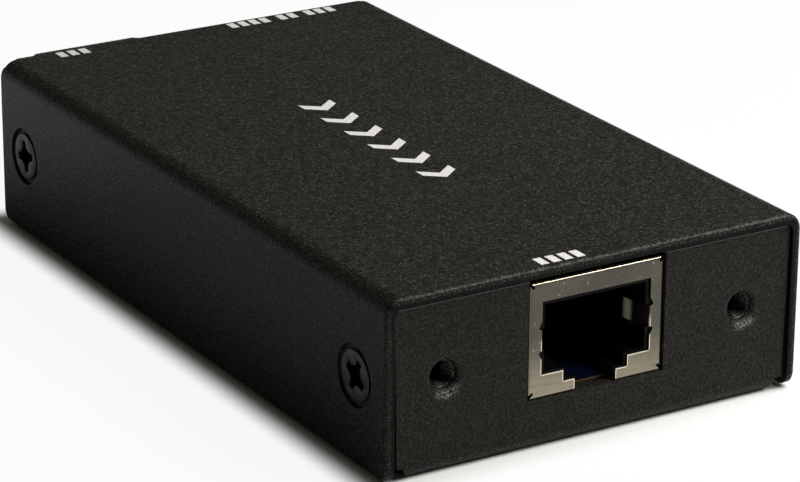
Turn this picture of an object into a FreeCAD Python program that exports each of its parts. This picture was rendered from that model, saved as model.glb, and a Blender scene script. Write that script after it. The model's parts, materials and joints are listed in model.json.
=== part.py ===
import FreeCAD, Part
import math
import os
from FreeCAD import Vector

# Interface dongle in a folded steel case: a U-shaped cover over a nested tray, with a shielded
# network jack between two tapped jackscrew holes in front and two sockets at the rear.
# Millimetres. +X right, +Y to the rear, +Z up. The origin is the middle of the case's footprint.

# --- sheet steel case ---
sheet = 1.1                 # 1.0 steel and its powder coat
cover_bend = 2.0            # outer radius of the two long bends
tray_bend = 1.6             # outer radius of the floor's bends
cut_edge_break = 0.35       # coat and deburring soften every cut edge
cover_lift = 0.3            # the cover's sides end above the standing face
side_corner_round = 1.5
side_gap = 0.15             # running gap between cover and tray
top_gap = 0.2
wall_recess = 0.35          # end walls stand inside the cover's ends
wall_corner_round = 0.6
wall_taper = 0.3            # each end wall narrows by this toward the floor, per side
bend_relief_length = 0.5    # slot at the rear end of each long bend
bend_relief_drop = 0.85     # from the top face down to the slot's floor
hood_width = 12.7           # in-plane tab of the cover that roofs the data socket
hood_ramp = 0.6
hood_proud = 0.55

# --- side ears and cover screws ---
ear_length = 8.0
ear_top = 14.2
corner_relief = 2.2         # tray corner notch between two bends
corner_relief_width = 1.0
corner_relief_rise = 1.5
screw_inset = 6.0           # from the cover's ends
screw_level = 9.7
screw_head_diameter = 5.6
screw_sink = 0.1            # head below the cover's face
screw_pocket = 6.5          # steep-walled mouth round the head
screw_pocket_depth = 0.4
screw_rim = 0.1             # short straight rim of the countersunk head
screw_thread = 3.0
screw_length = 4.0
cross_span = 3.5
cross_arm = 0.85
cross_depth = 1.2
seat_clearance = 0.05

# --- front jackscrew holes ---
jackscrew_spacing = 35.5
jackscrew_level = 10.3
jackscrew_thread = 3.0
jackscrew_collar = 2.0      # collar drawn inward from the wall
collar_wall = 0.7
mouth_round = 0.65

# --- board and its fixings ---
board_thickness = 1.6
board_setback = 1.9         # board edge behind the outer face of the end walls
board_side_gap = 0.4
standoff_height = 2.9
standoff_flats = 5.0
fixing_side_inset = 3.4     # from the board's edges
front_fixing_inset = 6.0
rear_fixing_ahead = 9.3     # ahead of the data socket's back
fixing_hole = 3.2
board_screw_head = 5.5
board_screw_head_height = 1.9
board_screw_length = 4.0

# --- network jack ---
jack_width = 16.0
jack_height = 12.2
jack_depth = 18.0
jack_face_inset = 0.15      # behind the wall's outer face
jack_headroom = 0.6         # below the cover
jack_cutout_gap = 0.17
shield_sheet = 0.25
shield_bend = 0.35
shield_relief = 0.3
shield_relief_reach = 0.75
shield_lip = 2.0
plug_half_width = 6.48
plug_top = 10.1
shoulder_level = 2.3        # ledge that the plug's body slides on
latch_half_width = 3.86
latch_level = 1.1
lever_half_width = 2.47
finger_height = 2.18
finger_level = 5.96
finger_bulge = 0.95         # the spring's reach into the cavity
finger_crest = 4.0
finger_length = 7.4
notch_reach = 0.38
notch_run = 0.75
notch_hook = 0.2
cavity_inset = 0.45         # moulded cavity inside the shield's opening
ledge_inset = 0.12
cavity_depth = 13.0
contact_count = 8
contact_pitch = 1.016
contact_wire = 0.35
contact_groove = 0.05
contact_front = 1.9
contact_tip = 9.6
contact_drop = 3.9
contact_tail = 15.6
contact_cover = 0.3         # wire below the shield's top
tail_length = 2.4           # pins, pegs and legs below the board's top
leg_width = 1.6
jack_peg_flats = 2.6
jack_peg_hole = 3.2
jack_peg_spacing = 11.4
jack_peg_inset = 8.6
jack_leg_inset = 12.2
hole_clearance = 0.1

# --- square data socket, rear ---
data_side = 4.95            # from the case's side
data_width = 12.0
data_height = 10.9
data_depth = 16.4
data_shell = 0.3
data_face_inset = 0.1       # behind the hood's edge
data_opening_width = 8.5
data_opening_height = 7.8
data_opening_level = 1.5
data_corner_cut = 1.6
data_cavity_depth = 9.2
data_tongue_width = 5.6
data_tongue_height = 3.2
data_tongue_setback = 0.9
data_contact_width = 1.0
data_contact_thickness = 0.2
data_contact_length = 6.4
data_contact_spacing = 2.4
data_leg_inset = 4.7

# --- flat video socket, rear ---
video_side = 5.85           # from the case's side
socket_gap = 11.7           # between the two rear sockets
video_width = 15.0
video_height = 5.9
video_depth = 11.8
video_shell = 0.4
video_face_proud = 0.2
video_side_height = 3.6
video_taper = 1.9
video_cavity_depth = 8.4
video_tongue_width = 11.2
video_tongue_thickness = 1.0
video_tongue_setback = 1.4
video_contact_count = 19
video_contact_pitch = 0.5
video_contact_width = 0.28
video_contact_thickness = 0.12
video_contact_length = 5.4
video_leg_insets = (3.4, 9.4)
rear_window_gap = 0.25

# --- parts on the board: width, length and height, and places from their neighbours ---
board_bay = 51.45           # free length of board between the jack and the data socket
transformer_size = (15.2, 12.6, 5.6)
transformer_gap = 3.4       # behind the jack
processor_size = (13.0, 13.0, 1.4)
processor_cap_inset = 0.8
receiver_size = (8.0, 8.0, 0.9)
receiver_gap = 4.5          # ahead of the video socket
equaliser_size = (5.0, 5.0, 0.9)
memory_size = (3.9, 4.9, 1.5)
crystal_size = (4.7, 11.2, 3.6)
inductor_size = (7.0, 7.0, 3.2)
inductor_gap = 3.5          # ahead of the data socket
inductor_shift = 4.0        # left of the middle
regulator_size = (3.5, 6.5, 1.6)
column_gap = 3.0            # between the middle column of parts and its neighbours
side_column = 14.8          # middle of the outer columns of parts
capacitor_diameter = 6.3
capacitor_height = 5.8
capacitor_base = 6.6
capacitor_gap = 1.2         # behind the jack's corners
capacitor_column = 13.0
capacitor_base_height = 1.1
chip_chamfer = 0.3
chip_seat = 0.1
lead_thickness = 0.2
lead_foot = 0.6
lead_reach = 1.0

# --- derived levels, lengths and faces ---
board_bottom = sheet + standoff_height
board_top = board_bottom + board_thickness
case_width = data_side + data_width + socket_gap + video_width + video_side
case_height = board_top + jack_height + jack_headroom + sheet
cover_length = (wall_recess + jack_face_inset + jack_depth + board_bay + data_depth
                + data_face_inset - hood_proud)
overall_length = cover_length + hood_proud
cover_front = -overall_length / 2
cover_rear = cover_front + cover_length
tray_front = cover_front + wall_recess
tray_rear = cover_rear - wall_recess
tray_half_width = case_width / 2 - sheet - side_gap
wall_top = case_height - sheet - top_gap
board_front = tray_front + board_setback
board_rear = tray_rear - board_setback
board_half_width = tray_half_width - sheet - board_side_gap
screw_rows = (cover_front + screw_inset, cover_rear - screw_inset)
jack_face = tray_front + jack_face_inset
jack_rear = jack_face + jack_depth
data_face = cover_rear + hood_proud - data_face_inset
data_back = data_face - data_depth
data_centre = data_side + data_width / 2 - case_width / 2
video_face = tray_rear + video_face_proud
video_back = video_face - video_depth
video_centre = case_width / 2 - video_side - video_width / 2
fixing_column = board_half_width - fixing_side_inset
fixing_rows = (board_front + front_fixing_inset, data_back - rear_fixing_ahead)

RIGHT, REAR, UP = Vector(1, 0, 0), Vector(0, 1, 0), Vector(0, 0, 1)


def on_xy(u, v):
    return Vector(u, v, 0)


def on_xz(u, v):
    return Vector(u, 0, v)


def on_yz(u, v):
    return Vector(0, u, v)


def block(x, y, z):
    """Box between the low and high value of each axis."""
    size = [high - low for low, high in (x, y, z)]
    return Part.makeBox(*size, Vector(x[0], y[0], z[0]))


def prism(points, plane, reach):
    """Straight extrusion of a closed outline."""
    corners = [plane(u, v) for u, v in points]
    return Part.Face(Part.makePolygon(corners + corners[:1])).extrude(reach)


def mirrored(half):
    """Closed outline from its right half, listed from the top down."""
    return half + [(-u, v) for u, v in reversed(half)]


def rod(start, direction, diameter, length):
    return Part.makeCylinder(diameter / 2, length, start, direction)


def turned(profile, start, direction):
    """Solid of revolution: profile points are (radius, distance along the axis)."""
    points = [Vector(radius, 0, distance) for radius, distance in profile]
    solid = Part.Face(Part.makePolygon(points + points[:1])).revolve(Vector(), UP, 360)
    solid.Placement = FreeCAD.Placement(start, FreeCAD.Rotation(UP, direction))
    return solid


def fused(shapes):
    """One body from touching or overlapping shapes."""
    return shapes[0].multiFuse(shapes[1:]).removeSplitter()


def moved(shape, x=0, y=0, z=0):
    return shape.translated(Vector(x, y, z))


def bent_wire(points, thickness, plane):
    """Section of a fine wire about its centre line, with mitred bends."""
    line = [Vector(u, v, 0) for u, v in points]
    runs = [(b - a).normalize() for a, b in zip(line, line[1:])]
    left = [Vector(-run.y, run.x, 0) for run in runs]
    mitres = [left[0]] + [(a + b) / (1 + a.dot(b)) for a, b in zip(left, left[1:])] + [left[-1]]
    sides = [[corner + mitre * side * thickness / 2 for corner, mitre in zip(line, mitres)]
             for side in (1, -1)]
    outline = [plane(p.x, p.y) for p in sides[0] + sides[1][::-1]]
    return Part.Face(Part.makePolygon(outline + outline[:1]))


def folded_strip(points, thickness, bend, plane):
    """Section of a bent sheet about its centre line, with an arc at each bend."""
    line = [Vector(u, v, 0) for u, v in points]
    runs = [(b - a).normalize() for a, b in zip(line, line[1:])]
    faces = []
    for side in (1, -1):
        offset = side * thickness / 2
        left = [Vector(-run.y, run.x, 0) * offset for run in runs]
        here, edges = line[0] + left[0], []
        for corner, before, after, near, far in zip(line[1:-1], runs, runs[1:], left, left[1:]):
            reach = bend * math.tan(before.getAngle(after) / 2)
            inward = (after - before).normalize()
            centre = corner + inward * math.hypot(bend, reach)
            start, end = corner - before * reach + near, corner + after * reach + far
            middle = centre - inward * (start - centre).Length
            edges += [(here, start), (start, middle, end)]
            here = end
        faces.append(edges + [(here, line[-1] + left[-1])])
    caps = [tuple(face[end][end] for face in faces) for end in (0, -1)]
    edges = []
    for stops in faces[0] + faces[1] + caps:
        stops = [plane(stop.x, stop.y) for stop in stops]
        curve = Part.Arc(*stops) if len(stops) == 3 else Part.LineSegment(*stops)
        edges.append(curve.toShape())
    return Part.Face(Part.Wire(Part.__sortEdges__(edges)))


def edges_where(shape, test):
    """Edges whose two ends and middle all pass the test."""
    chosen = []
    for edge in shape.Edges:
        middle = edge.valueAt((edge.FirstParameter + edge.LastParameter) / 2)
        if all(test(point) for point in [vertex.Point for vertex in edge.Vertexes] + [middle]):
            chosen.append(edge)
    return chosen


def same(a, b):
    return abs(a - b) < 1e-4


# ---------------------------------------------------------------- folded cover

def on_cover_skin(point):
    """True on the outer surface of the cover's top, bends and sides."""
    past_x = abs(point.x) - (case_width / 2 - cover_bend)
    past_z = point.z - (case_height - cover_bend)
    if past_x > 0 and past_z > 0:
        return same(math.hypot(past_x, past_z), cover_bend)
    return same(past_x, cover_bend) or same(past_z, cover_bend)


def screw_axes():
    """Mouth and inward direction of the four side screws."""
    for side in (-1, 1):
        for row in screw_rows:
            yield Vector(side * case_width / 2, row, screw_level), Vector(-side, 0, 0)


def countersink(extra):
    """Cutter through both sheets: a round pocket, then a 90 degree seat grown by a clearance."""
    cone = screw_head_diameter / 2 + screw_sink + extra
    pocket, bore = screw_pocket / 2, screw_thread / 2 + extra
    through = screw_length + sheet
    step = screw_pocket_depth
    return [(0, -sheet), (pocket, -sheet), (pocket, step), (cone - step, step), (bore, cone - bore),
            (bore, through), (0, through)]


def make_top_cover():
    """Inverted U of sheet with rounded ends, a hood over the data socket and bend reliefs."""
    side = case_width / 2 - sheet / 2
    crown = case_height - sheet / 2
    centre_line = [(-side, cover_lift), (-side, crown), (side, crown), (side, cover_lift)]
    section = folded_strip(centre_line, sheet, cover_bend - sheet / 2, on_xz)
    cover = moved(section.extrude(REAR * cover_length), y=cover_front)
    ends = (cover_front, cover_rear)
    corners = edges_where(cover, lambda p: same(p.z, cover_lift) and any(same(p.y, y) for y in ends))
    cover = cover.makeFillet(side_corner_round, corners)
    hood_half = hood_width / 2
    hood = mirrored([(hood_half, hood_proud), (hood_half + hood_ramp, 0), (hood_half + hood_ramp, -sheet)])
    hood = moved(prism(hood, on_xy, UP * sheet), data_centre, cover_rear, case_height - sheet)
    cover = fused([cover, hood])
    long_bends = cover_length / 2
    rim = [edge for edge in edges_where(cover, on_cover_skin)
           if edge.BoundBox.YLength < long_bends or same(edge.BoundBox.ZMax, cover_lift)]
    cover = cover.makeChamfer(cut_edge_break, rim)
    relief_floor = case_height - bend_relief_drop
    cutters = [turned(countersink(0), *axis) for axis in screw_axes()]
    for side in (-1, 1):
        across = sorted((side * (case_width / 2 - cover_bend), side * case_width))
        depth = (cover_rear - bend_relief_length, cover_rear + sheet)
        cutters.append(block(across, depth, (relief_floor, 2 * case_height)))
    return cover.cut(Part.makeCompound(cutters))


# ---------------------------------------------------------------- folded tray

def drawn_hole(mouth, inward, thread, collar, lip):
    """Collar to add and bore to cut for a hole whose rim is drawn inward and tapped."""
    depth = sheet + collar
    tube = rod(mouth, inward, thread + 2 * collar_wall, depth)
    radius = thread / 2
    steps = [math.radians(angle) for angle in (0, 45, 90)]
    rolled = [(radius + lip * (1 - math.sin(a)), lip * (1 - math.cos(a))) for a in steps]
    bore = turned([(0, 0)] + rolled + [(radius, depth + sheet), (0, depth + sheet)], mouth, inward)
    return tube, bore


def jackscrew_mouths():
    for side in (-1, 1):
        yield Vector(side * jackscrew_spacing / 2, tray_front, jackscrew_level)


def make_ear(side, row_end):
    """Side ear folded up from the floor, with its root bend, next to one end wall."""
    out = side * (tray_half_width - sheet / 2)
    inner = side * (tray_half_width - 2 * tray_bend)
    line = [(inner, sheet / 2), (out, sheet / 2), (out, ear_top)]
    section = folded_strip(line, sheet, tray_bend - sheet / 2, on_xz)
    start = tray_front + corner_relief if row_end == 0 else tray_rear - corner_relief - ear_length
    ear = moved(section.extrude(REAR * ear_length), y=start)
    top = edges_where(ear, lambda p: same(p.z, ear_top) and not start < p.y < start + ear_length)
    return ear.makeChamfer(side_corner_round, top)


def end_wall_trim(face, inward):
    """Cutters for one end wall: rounded top corners, tapered sides and notched lower corners."""
    cutters = []
    for side in (-1, 1):
        corner = side * tray_half_width
        centre = corner - side * wall_corner_round
        square = block(sorted((centre, corner + side)), sorted((face - inward, face + 2 * inward * sheet)),
                       (wall_top - wall_corner_round, wall_top + sheet))
        keep = rod(Vector(centre, face - 2 * inward, wall_top - wall_corner_round),
                   REAR * inward, 2 * wall_corner_round, 4 * sheet + 2)
        cutters.append(square.cut(keep))
        slope = corner - side * (corner_relief_width + corner_relief_rise / 2)
        notch = [(slope, -sheet), (slope, 0), (corner - side * corner_relief_width, corner_relief_rise),
                 (corner - side * wall_taper, corner_relief_rise), (corner, wall_top - wall_corner_round),
                 (corner + side, corner_relief_rise), (corner + side, -sheet)]
        cutters.append(moved(prism(notch, on_xz, REAR * inward * (corner_relief + 1)), y=face - inward))
    return cutters


def make_base_tray():
    """U of sheet, floor and end walls, with four ears, drawn holes and socket cut-outs."""
    front, rear = tray_front + sheet / 2, tray_rear - sheet / 2
    line = [(front, wall_top), (front, sheet / 2), (rear, sheet / 2), (rear, wall_top)]
    section = folded_strip(line, sheet, tray_bend - sheet / 2, on_yz)
    tray = moved(section.extrude(RIGHT * 2 * tray_half_width), x=-tray_half_width)
    edge_strip = tray_bend + sheet
    cutters = []
    for side in (-1, 1):
        across = sorted((side * (tray_half_width - edge_strip), side * case_width))
        between = (tray_front + corner_relief, tray_rear - corner_relief)
        cutters.append(block(across, between, (-sheet, case_height)))
    tray = tray.cut(Part.makeCompound(cutters))
    rail = (tray_front + corner_relief + ear_length, tray_rear - corner_relief - ear_length)
    parts = [tray]
    for side in (-1, 1):
        across = sorted((side * (tray_half_width - edge_strip), side * tray_half_width))
        parts.append(block(across, rail, (0, sheet)))
        parts += [make_ear(side, end) for end in (0, 1)]
    cutters = end_wall_trim(tray_front, 1) + end_wall_trim(tray_rear, -1)
    for mouth in jackscrew_mouths():
        tube, bore = drawn_hole(mouth, REAR, jackscrew_thread, jackscrew_collar, mouth_round)
        parts.append(tube)
        cutters.append(bore)
    cutters += [turned(countersink(seat_clearance), *axis) for axis in screw_axes()]
    cutters += front_cutout() + rear_windows()
    return fused(parts).cut(Part.makeCompound(cutters)).removeSplitter()


def front_cutout():
    """Notch for the jack, open to the wall's top edge."""
    half = jack_width / 2 + jack_cutout_gap
    return [block((-half, half), (tray_front - sheet, tray_front + 2 * sheet),
                  (board_top - jack_cutout_gap, case_height))]


def rear_windows():
    """Windows round the two rear sockets."""
    gap = rear_window_gap
    through = (tray_rear - 2 * sheet, tray_rear + sheet)
    data_half = data_width / 2 + gap
    data = block((data_centre - data_half, data_centre + data_half), through,
                 (board_top - gap, board_top + data_height + gap))
    outline = video_outline(gap)
    video = moved(prism(outline, on_xz, REAR * 3 * sheet), video_centre, tray_rear - 2 * sheet, board_top)
    return [data, video]


def fixing_points():
    for side in (-1, 1):
        for row in fixing_rows:
            yield side * fixing_column, row


# ---------------------------------------------------------------- fasteners

def cross_recess(mouth, inward):
    """Tapered cross recess, cut from a screw head."""
    arms = []
    for turn in (0, 90):
        half, foot = cross_span / 2, cross_arm / 2
        arm = prism([(-half, 0), (half, 0), (foot, cross_depth), (-foot, cross_depth)], on_xz, REAR * cross_arm)
        arm = moved(arm, y=-cross_arm / 2)
        arm.rotate(Vector(), UP, turn)
        arms.append(arm)
    recess = fused(arms)
    recess.Placement = FreeCAD.Placement(mouth, FreeCAD.Rotation(UP, inward)).multiply(recess.Placement)
    return recess


def make_cover_screw(mouth, inward):
    """Countersunk screw, its flat just below the cover's face."""
    top = mouth + inward * screw_sink
    head, thread = screw_head_diameter / 2, screw_thread / 2
    rim = screw_rim
    profile = [(0, 0), (head - rim, 0), (head - rim, rim), (thread, head - thread), (thread, screw_length),
               (0, screw_length)]
    return turned(profile, top, inward).cut(cross_recess(top, inward))


def make_board_screw(x, y):
    """Cheese head screw that clamps the board on its standoff."""
    head, thread = board_screw_head / 2, screw_thread / 2 - seat_clearance
    profile = [(0, board_screw_head_height), (head, board_screw_head_height), (head, 0),
               (thread, 0), (thread, -board_screw_length), (0, -board_screw_length)]
    top = Vector(x, y, board_top + board_screw_head_height)
    return turned(profile, Vector(x, y, board_top), UP).cut(cross_recess(top, -UP))


def hexagon(flats, reach):
    """Six-sided post with its given width across flats."""
    corner = flats / math.sqrt(3)
    turns = [math.radians(60 * index) for index in range(6)]
    return prism([(corner * math.cos(a), corner * math.sin(a)) for a in turns], on_xy, reach)


def make_standoff(x, y):
    """Hexagonal tapped standoff, projection welded to the floor."""
    body = hexagon(standoff_flats, UP * standoff_height)
    return moved(body.cut(rod(Vector(), UP, screw_thread, standoff_height)), x, y, sheet)


# ---------------------------------------------------------------- network jack

def plug_outline(inset, ledge):
    """Right half of the stepped plug opening, from the top down, relative to the board."""
    side = plug_half_width - inset
    return [(side, plug_top - inset), (side, shoulder_level + ledge),
            (latch_half_width - inset + ledge, shoulder_level + ledge),
            (latch_half_width - inset + ledge, latch_level + ledge),
            (lever_half_width - ledge, latch_level + ledge), (lever_half_width - ledge, -shield_lip)]


def shield_opening():
    """Plug opening of the shield, with the relief notches that free each spring finger."""
    top, low = finger_level + finger_height / 2, finger_level - finger_height / 2
    reach = plug_half_width + notch_reach
    notches = [(plug_half_width, top + notch_run + notch_hook), (reach, top + notch_hook),
               (plug_half_width, top), (plug_half_width, low), (reach, low - notch_hook),
               (plug_half_width, low - notch_hook - notch_run)]
    half = plug_outline(0, 0)
    return mirrored(half[:1] + notches + half[1:])


def spring_finger(side):
    """Side contact spring, folded in from the opening's edge and bowed into the cavity."""
    def arc(shift):
        stops = [(plug_half_width + shift, 0), (plug_half_width + shift - finger_bulge, finger_crest),
                 (plug_half_width + shift - finger_bulge / 3, finger_length)]
        return [Vector(side * x, jack_face + y, 0) for x, y in stops]
    near, far = arc(0), arc(shield_sheet)
    edges = [Part.Arc(*near).toShape(), Part.Arc(*far).toShape(),
             Part.LineSegment(near[0], far[0]).toShape(), Part.LineSegment(near[2], far[2]).toShape()]
    face = Part.Face(Part.Wire(Part.__sortEdges__(edges)))
    return moved(face.extrude(UP * finger_height), z=board_top + finger_level - finger_height / 2)


def make_jack_shield():
    """Folded shield, open below: face, top, sides and back from one plated sheet."""
    half, top = jack_width / 2, board_top + jack_height
    outside = block((-half, half), (jack_face, jack_rear), (board_top, top))
    bends = edges_where(outside, lambda p: same(p.y, jack_face) or same(p.z, top))
    bends = [edge for edge in bends if not same(edge.BoundBox.ZMax, board_top)]
    outside = outside.makeFillet(shield_bend, bends)
    t = shield_sheet
    inside = block((t - half, half - t), (jack_face + t, jack_rear - t), (board_top - t, top - t))
    shell = outside.cut(inside)
    lip = block((t - half, half - t), (jack_face, jack_face + shield_lip), (board_top, board_top + t))
    shell = fused([shell, lip])
    opening = moved(prism(shield_opening(), on_xz, REAR * 2 * shield_lip), 0, jack_face - shield_lip / 2, board_top)
    cutters = [opening]
    for side in (-1, 1):
        for level, lean in ((top, side), (board_top, -side)):
            slot = block((-shield_relief_reach, shield_relief_reach), (-t, 2 * t),
                         (-shield_relief / 2, shield_relief / 2))
            slot.rotate(Vector(), REAR, -45 * lean)
            cutters.append(moved(slot, side * half, jack_face, level))
    shell = shell.cut(Part.makeCompound(cutters))
    return fused([shell, spring_finger(-1), spring_finger(1)] + jack_legs())


def contact_rows():
    for index in range(contact_count):
        yield (index - (contact_count - 1) / 2) * contact_pitch


def contact_section(grow):
    """Side view of one contact wire, or of its groove where grown."""
    level = board_top + jack_height - shield_sheet - contact_cover - contact_wire / 2
    rear = jack_face + contact_tail
    line = [(rear, board_top - grow), (rear, level), (jack_face + contact_front, level),
            (jack_face + contact_tip, level - contact_drop)]
    return bent_wire(line, contact_wire + 2 * grow, on_yz)


def make_jack_housing():
    """Moulded insert: stepped plug cavity, contact comb, spring recesses and two board pegs."""
    t = shield_sheet
    half, top = jack_width / 2 - t, board_top + jack_height - t
    body = block((-half, half), (jack_face + t, jack_rear - t), (board_top + t, top))
    foot = block((-half, half), (jack_face + shield_lip, jack_rear - t), (board_top, board_top + t))
    pegs = [moved(hexagon(jack_peg_flats, -UP * tail_length), side * jack_peg_spacing / 2,
                  jack_face + jack_peg_inset, board_top) for side in (-1, 1)]
    body = fused([body, foot] + pegs)
    cavity = mirrored(plug_outline(cavity_inset, ledge_inset))
    cutters = [moved(prism(cavity, on_xz, REAR * (cavity_depth + t)), 0, jack_face - t, board_top)]
    recess = finger_height / 2 + 2 * seat_clearance
    reach = plug_half_width + t + 2 * seat_clearance
    level = board_top + finger_level
    cutters.append(block((-reach, reach), (jack_face, jack_face + finger_length + t),
                         (level - recess, level + recess)))
    groove = contact_section(contact_groove)
    comb = [(jack_face + contact_front, top + t), (jack_face + contact_tip + t, top + t),
            (jack_face + contact_tip + t, top - contact_drop - t), (jack_face + contact_front - t, top - t)]
    width = contact_wire + 2 * contact_groove
    for row in contact_rows():
        for face in (groove, Part.Face(Part.makePolygon([on_yz(*p) for p in comb + comb[:1]]))):
            cutters.append(moved(face.extrude(RIGHT * width), x=row - width / 2))
        open_back = (jack_face + contact_tail - contact_wire / 2, jack_rear)
        cutters.append(block((row - width / 2, row + width / 2), open_back, (board_top - t, top + t)))
    return body.cut(fused(cutters))


def make_jack_contacts():
    """Spring wires: up from the board, over the housing and folded into the cavity."""
    section = contact_section(0)
    wires = [moved(section.extrude(RIGHT * contact_wire), x=row - contact_wire / 2) for row in contact_rows()]
    return Part.makeCompound(wires)


# ---------------------------------------------------------------- rear sockets

def data_outline(inset):
    """Square plug opening with its two upper corners cut, relative to the board."""
    half = data_opening_width / 2 - inset
    top, cut = data_opening_level + data_opening_height - inset, data_corner_cut
    return mirrored([(half - cut, top), (half, top - cut), (half, data_opening_level + inset)])


def make_data_shell():
    """Four-sided plated sleeve of the data socket, with its folded back."""
    half, t = data_width / 2, data_shell
    x = (data_centre - half, data_centre + half)
    sleeve = block(x, (data_back, data_face), (board_top, board_top + data_height))
    long_edges = edges_where(sleeve, lambda p: same(p.z, board_top + data_height))
    sleeve = sleeve.makeFillet(2 * t, [edge for edge in long_edges if edge.BoundBox.YLength > t])
    inside = block((x[0] + t, x[1] - t), (data_back + t, data_face + t),
                   (board_top + t, board_top + data_height - t))
    return fused([sleeve.cut(inside)] + data_legs())


def make_data_insert():
    """Moulded insert of the data socket: plug cavity with its central tongue."""
    half, t = data_width / 2 - data_shell, data_shell
    back, face = data_back + t, data_face - t / 2
    body = block((-half, half), (back, face), (t, data_height - t))
    cavity = moved(prism(data_outline(0), on_xz, REAR * (data_cavity_depth + t)), y=face - data_cavity_depth)
    middle = data_opening_level + data_opening_height / 2
    tongue = block((-data_tongue_width / 2, data_tongue_width / 2),
                   (face - data_cavity_depth - t, face - data_tongue_setback),
                   (middle - data_tongue_height / 2, middle + data_tongue_height / 2))
    return moved(fused([body.cut(cavity), tongue]), data_centre, 0, board_top)


def make_data_contacts():
    """Four flat contacts, two on each face of the data socket's tongue."""
    middle = board_top + data_opening_level + data_opening_height / 2
    end = data_face - data_shell / 2 - 2 * data_tongue_setback
    strips = []
    for side in (-1, 1):
        for place in (-1, 1):
            x = data_centre + place * data_contact_spacing / 2
            face = middle + side * data_tongue_height / 2
            strips.append(block((x - data_contact_width / 2, x + data_contact_width / 2),
                                (end - data_contact_length, end),
                                sorted((face, face + side * data_contact_thickness))))
    return Part.makeCompound(strips)


def video_outline(grow):
    """Flat plug shape: straight upper sides and a tapered lower half, relative to the board."""
    half, top = video_width / 2 + grow, video_height + grow
    shoulder = video_height - video_side_height
    return mirrored([(half, top), (half, shoulder), (half - video_taper, -grow)])


def make_video_shell():
    """Formed sleeve of the video socket with its folded back."""
    t = video_shell
    outside = prism(video_outline(0), on_xz, REAR * video_depth)
    inside = moved(prism(video_outline(-t), on_xz, REAR * video_depth), y=t)
    sleeve = moved(outside.cut(inside), video_centre, video_back, board_top)
    return fused([sleeve] + video_legs())


def video_tongue_level():
    return video_height / 2 + video_shell / 2


def make_video_insert():
    """Moulded insert at the back of the video socket, with the tongue that carries its contacts."""
    t, half = video_shell, video_tongue_width / 2
    body = prism(video_outline(-t), on_xz, REAR * (video_depth - video_cavity_depth - t))
    low = video_tongue_level() - video_tongue_thickness / 2
    tongue = block((-half, half), (0, video_depth - t - video_tongue_setback), (low, low + video_tongue_thickness))
    return moved(fused([body, tongue]), video_centre, video_back + t, board_top)


def make_video_contacts():
    """Flat contacts in two staggered rows above and below the tongue."""
    end = video_face - 2 * video_tongue_setback
    strips = []
    for index in range(video_contact_count):
        side = 1 if index % 2 == 0 else -1
        x = video_centre + (index - (video_contact_count - 1) / 2) * video_contact_pitch
        face = board_top + video_tongue_level() + side * video_tongue_thickness / 2
        strips.append(block((x - video_contact_width / 2, x + video_contact_width / 2),
                            (end - video_contact_length, end),
                            sorted((face, face + side * video_contact_thickness))))
    return Part.makeCompound(strips)


def shell_legs(x_low, x_high, y_middles, thickness):
    """Mounting legs folded down from both sides of a plated shell, through the board."""
    legs = []
    for y in y_middles:
        for x in ((x_low, x_low + thickness), (x_high - thickness, x_high)):
            legs.append(block(x, (y - leg_width / 2, y + leg_width / 2), (board_top - tail_length, board_top)))
    return legs


def jack_legs():
    return shell_legs(-jack_width / 2, jack_width / 2, [jack_face + jack_leg_inset], shield_sheet)


def data_legs():
    low = data_centre - data_width / 2
    return shell_legs(low, low + data_width, [data_face - data_leg_inset], data_shell)


def video_legs():
    half = video_width / 2 - video_taper
    rows = [video_face - inset for inset in video_leg_insets]
    return shell_legs(video_centre - half, video_centre + half, rows, video_shell)


# ---------------------------------------------------------------- board and its parts

def make_circuit_board():
    """Glass epoxy board with its fixing holes, peg holes and slots for the shells' legs."""
    board = block((-board_half_width, board_half_width), (board_front, board_rear), (board_bottom, board_top))
    upright = edges_where(board, lambda p: board_bottom - 1 < p.z < board_top + 1)
    board = board.makeChamfer(wall_corner_round, [edge for edge in upright if edge.BoundBox.ZLength > sheet])
    below = board_bottom - board_thickness
    holes = [rod(Vector(x, y, below), UP, fixing_hole, case_height) for x, y in fixing_points()]
    for side in (-1, 1):
        foot = Vector(side * jack_peg_spacing / 2, jack_face + jack_peg_inset, below)
        holes.append(rod(foot, UP, jack_peg_hole, case_height))
    for leg in jack_legs() + data_legs() + video_legs():
        box = leg.BoundBox
        holes.append(block((box.XMin - hole_clearance, box.XMax + hole_clearance),
                           (box.YMin - hole_clearance, box.YMax + hole_clearance), (below, case_height)))
    return board.cut(Part.makeCompound(holes))


def chip_body(size, seat):
    """Moulded chip package with chamfered upper edges, standing off the board by its seat."""
    width, length, height = size
    body = block((-width / 2, width / 2), (-length / 2, length / 2), (seat, height))
    return body.makeChamfer(chip_chamfer, edges_where(body, lambda p: same(p.z, height)))


def gull_leads(size, count, pitch, lead_width, turns):
    """Rows of gull-wing leads on the sides of a package, at the given quarter turns."""
    rows = []
    for turn in turns:
        half = size[turn % 2] / 2
        shoulder, t = size[2] / 2, lead_thickness
        knee = half + (lead_reach - lead_foot) / 2
        section = [(half, shoulder + t), (knee + t, shoulder + t), (knee + t, t), (half + lead_reach, t),
                   (half + lead_reach, 0), (knee, 0), (knee, shoulder), (half, shoulder)]
        lead = prism(section, on_xz, REAR * lead_width)
        for index in range(count):
            offset = (index - (count - 1) / 2) * pitch - lead_width / 2
            copy = moved(lead, y=offset)
            copy.rotate(Vector(), UP, 90 * turn)
            rows.append(copy)
    return rows


def leaded_chip(size, count, pitch, lead_width, turns):
    return fused([chip_body(size, chip_seat)] + gull_leads(size, count, pitch, lead_width, turns))


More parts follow.
